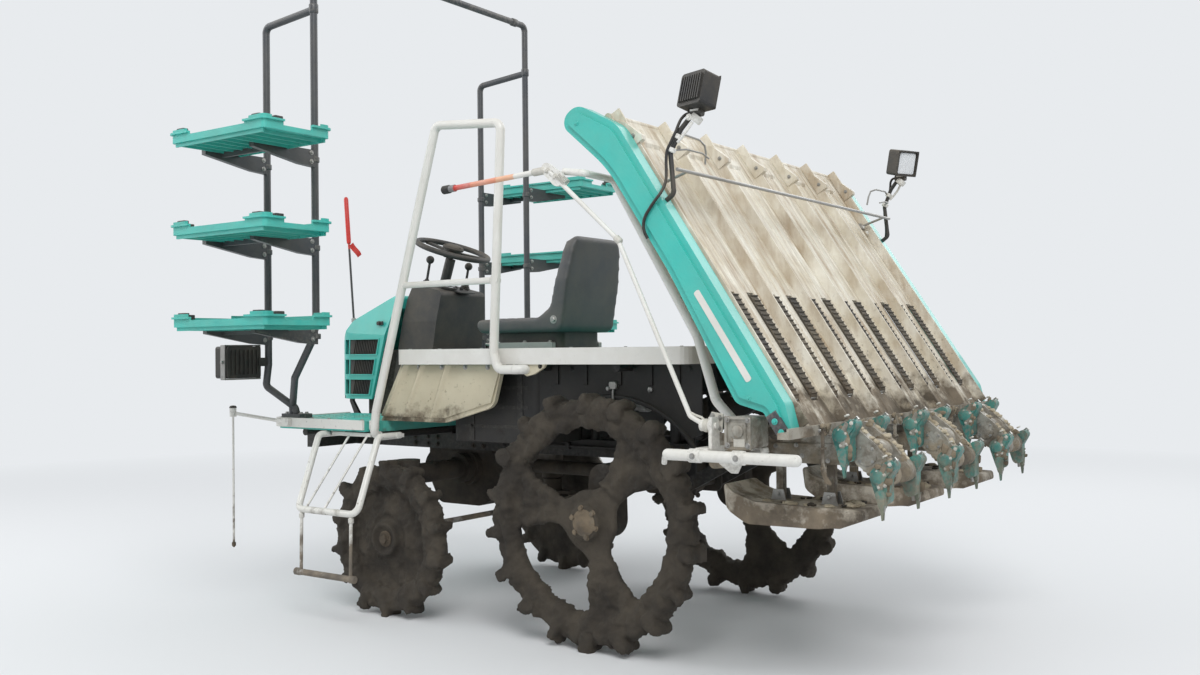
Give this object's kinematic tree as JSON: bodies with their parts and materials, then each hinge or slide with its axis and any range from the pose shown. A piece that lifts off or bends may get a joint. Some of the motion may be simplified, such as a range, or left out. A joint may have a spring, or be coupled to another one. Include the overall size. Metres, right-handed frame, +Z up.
{
  "type": "rice transplanter",
  "caption": "Riding rice transplanter on thin lugged wheels, with spare seedling racks in front and a raised planting unit with an inclined seedling table behind.",
  "frame": {"origin": "on the ground below the middle of the machine's length and width", "axes": "+X forward, +Y to the left, +Z up"},
  "size_m": [3.2065, 2.412, 2.8663],
  "materials": {
    "teal_panel": "moulded plastic and painted sheet, turquoise",
    "white_paint": "white painted tube",
    "white_band": "white moulded edge band",
    "cream_plastic": "cream moulded plastic, dusty",
    "dark_paint": "dark grey painted tube and plate",
    "black_plastic": "black moulded plastic",
    "cast_case": "cast and painted gearcases, muddy",
    "muddy_wheel": "steel and rubber wheel coated in dried mud",
    "bare_steel": "zinc plated steel",
    "aluminium_case": "die cast aluminium",
    "arm_teal": "turquoise painted casting, worn and muddy",
    "seat_moulding": "moulded seat skin, dark grey",
    "rubber": "black rubber"
  },
  "bodies": {
    "chassis": {"main_frame": "dark_paint", "transmission": "cast_case", "engine": "cast_case", "fuel_tank": "black_plastic", "front_axle": "cast_case", "rear_axle": "cast_case", "front_floor": "teal_panel", "seat_deck": "teal_panel", "edge_bands": "white_band", "body_cover": "cream_plastic", "dash_console": "black_plastic", "levers": "black_plastic", "seat": "seat_moulding", "seat_base": "black_plastic", "handrail": "white_paint", "boarding_steps": "white_paint", "rack_left": "dark_paint", "rack_right": "dark_paint", "rack_crossbar": "dark_paint", "rack_trays": "teal_panel", "headlights": "black_plastic", "side_sight_rods": "white_paint", "lift_cylinder": "bare_steel"},
    "bonnet": {"bonnet": "teal_panel", "bonnet_grilles": "black_plastic", "sighting_rod": "dark_paint"},
    "steering_wheel": {"steering_wheel": "black_plastic"},
    "knuckle_left": {"knuckle_left": "cast_case"},
    "knuckle_right": {"knuckle_right": "cast_case"},
    "tie_rod": {"tie_rod": "bare_steel"},
    "front_wheel_left": {"front_wheel_left": "muddy_wheel"},
    "front_wheel_right": {"front_wheel_right": "muddy_wheel"},
    "rear_wheel_left": {"rear_wheel_left": "muddy_wheel"},
    "rear_wheel_right": {"rear_wheel_right": "muddy_wheel"},
    "lower_links": {"lower_links": "dark_paint"},
    "upper_link": {"upper_link": "dark_paint"},
    "lift_rod": {"lift_rod": "bare_steel"},
    "hitch": {"hitch": "dark_paint"},
    "planting_unit": {"planter_frame": "aluminium_case", "floats": "cream_plastic", "pillar_frame": "white_paint", "guard_bars": "white_paint", "lower_rail": "bare_steel"},
    "rotors": {"rotors": "aluminium_case"},
    "arms_a": {"arms_a": "arm_teal"},
    "arms_b": {"arms_b": "arm_teal"},
    "seedling_table": {"lane_table": "cream_plastic", "side_beams": "teal_panel", "feed_belts": "rubber", "hold_down": "bare_steel", "work_lamps": "black_plastic", "lamp_cables": "rubber"},
    "marker_left": {"marker_left": "white_paint"},
    "marker_right": {"marker_right": "white_paint"}
  },
  "joints": [
    {"name": "bonnet_hinge", "type": "hinge", "parent": "chassis", "child": "bonnet", "pos_m": [1.41455, 0, 0.89], "axis": [0, 1, 0], "range_deg": [0, 55]},
    {"name": "steer", "type": "hinge", "parent": "chassis", "child": "knuckle_left", "pos_m": [0.65955, 0.505, 0.474], "axis": [0, 0, 1], "range_deg": [-40, 40]},
    {"name": "steer_right", "type": "hinge", "parent": "chassis", "child": "knuckle_right", "pos_m": [0.65955, -0.505, 0.474], "axis": [0, 0, 1], "range_deg": [-40, 40]},
    {"name": "tie_rod_swing", "type": "hinge", "parent": "knuckle_left", "child": "tie_rod", "pos_m": [0.53955, 0.505, 0.376], "axis": [0, 0, 1], "range_deg": [-40, 40]},
    {"name": "steering_wheel_turn", "type": "hinge", "parent": "chassis", "child": "steering_wheel", "pos_m": [0.85555, 0, 1.591], "axis": [-0.3355, 0, 0.9421], "range_deg": [-240, 240]},
    {"name": "front_wheel_left_spin", "type": "hinge", "parent": "knuckle_left", "child": "front_wheel_left", "pos_m": [0.65955, 0.61, 0.325], "axis": [0, 1, 0], "continuous": true},
    {"name": "front_wheel_right_spin", "type": "hinge", "parent": "knuckle_right", "child": "front_wheel_right", "pos_m": [0.65955, -0.61, 0.325], "axis": [0, 1, 0], "continuous": true},
    {"name": "rear_wheel_left_spin", "type": "hinge", "parent": "chassis", "child": "rear_wheel_left", "pos_m": [-0.38045, 0.604, 0.475], "axis": [0, 1, 0], "continuous": true},
    {"name": "rear_wheel_right_spin", "type": "hinge", "parent": "chassis", "child": "rear_wheel_right", "pos_m": [-0.38045, -0.604, 0.475], "axis": [0, 1, 0], "continuous": true},
    {"name": "lift", "type": "hinge", "parent": "chassis", "child": "lower_links", "pos_m": [-0.50045, 0, 0.56], "axis": [0, 1, 0], "range_deg": [-56, 0]},
    {"name": "upper_link_swing", "type": "hinge", "parent": "chassis", "child": "upper_link", "pos_m": [-0.50045, 0, 0.76], "axis": [0, 1, 0], "range_deg": [-56, 0]},
    {"name": "lift_rod_travel", "type": "slide", "parent": "chassis", "child": "lift_rod", "axis": [1, 0, 0], "range_m": [-0.1226, 0]},
    {"name": "hitch_level", "type": "hinge", "parent": "lower_links", "child": "hitch", "pos_m": [-0.92426, 0, 0.78535], "axis": [0, 1, 0], "range_deg": [0, 56]},
    {"name": "planting_roll", "type": "hinge", "parent": "hitch", "child": "planting_unit", "pos_m": [-1.02045, 0, 0.78535], "axis": [1, 0, 0], "range_deg": [-4, 4]},
    {"name": "table_shift", "type": "slide", "parent": "planting_unit", "child": "seedling_table", "axis": [0, 1, 0], "range_m": [-0.14, 0.14]},
    {"name": "rotor_spin", "type": "hinge", "parent": "planting_unit", "child": "rotors", "pos_m": [-1.49245, 0, 0.778], "axis": [0, 1, 0], "continuous": true},
    {"name": "arms_a_turn", "type": "hinge", "parent": "rotors", "child": "arms_a", "pos_m": [-1.55255, 0, 0.7179], "axis": [0, 1, 0], "continuous": true},
    {"name": "arms_b_turn", "type": "hinge", "parent": "rotors", "child": "arms_b", "pos_m": [-1.43234, 0, 0.8381], "axis": [0, 1, 0], "continuous": true},
    {"name": "marker_left_swing", "type": "hinge", "parent": "planting_unit", "child": "marker_left", "pos_m": [-1.08445, 0.962, 0.873], "axis": [-1, 0, 0], "range_deg": [0, 105]},
    {"name": "marker_right_swing", "type": "hinge", "parent": "planting_unit", "child": "marker_right", "pos_m": [-1.08445, -0.962, 0.873], "axis": [1, 0, 0], "range_deg": [0, 105]}
  ],
  "couplings": [
    {"joint": "steer_right", "follows": "steer", "ratio": 1},
    {"joint": "tie_rod_swing", "follows": "steer", "ratio": -1},
    {"joint": "steering_wheel_turn", "follows": "steer", "ratio": 6},
    {"joint": "upper_link_swing", "follows": "lift", "ratio": 1},
    {"joint": "hitch_level", "follows": "lift", "ratio": -1},
    {"joint": "lift_rod_travel", "follows": "lift", "m_per_rad": 0.12489},
    {"joint": "arms_a_turn", "follows": "rotor_spin", "ratio": -1},
    {"joint": "arms_b_turn", "follows": "rotor_spin", "ratio": -1}
  ]
}
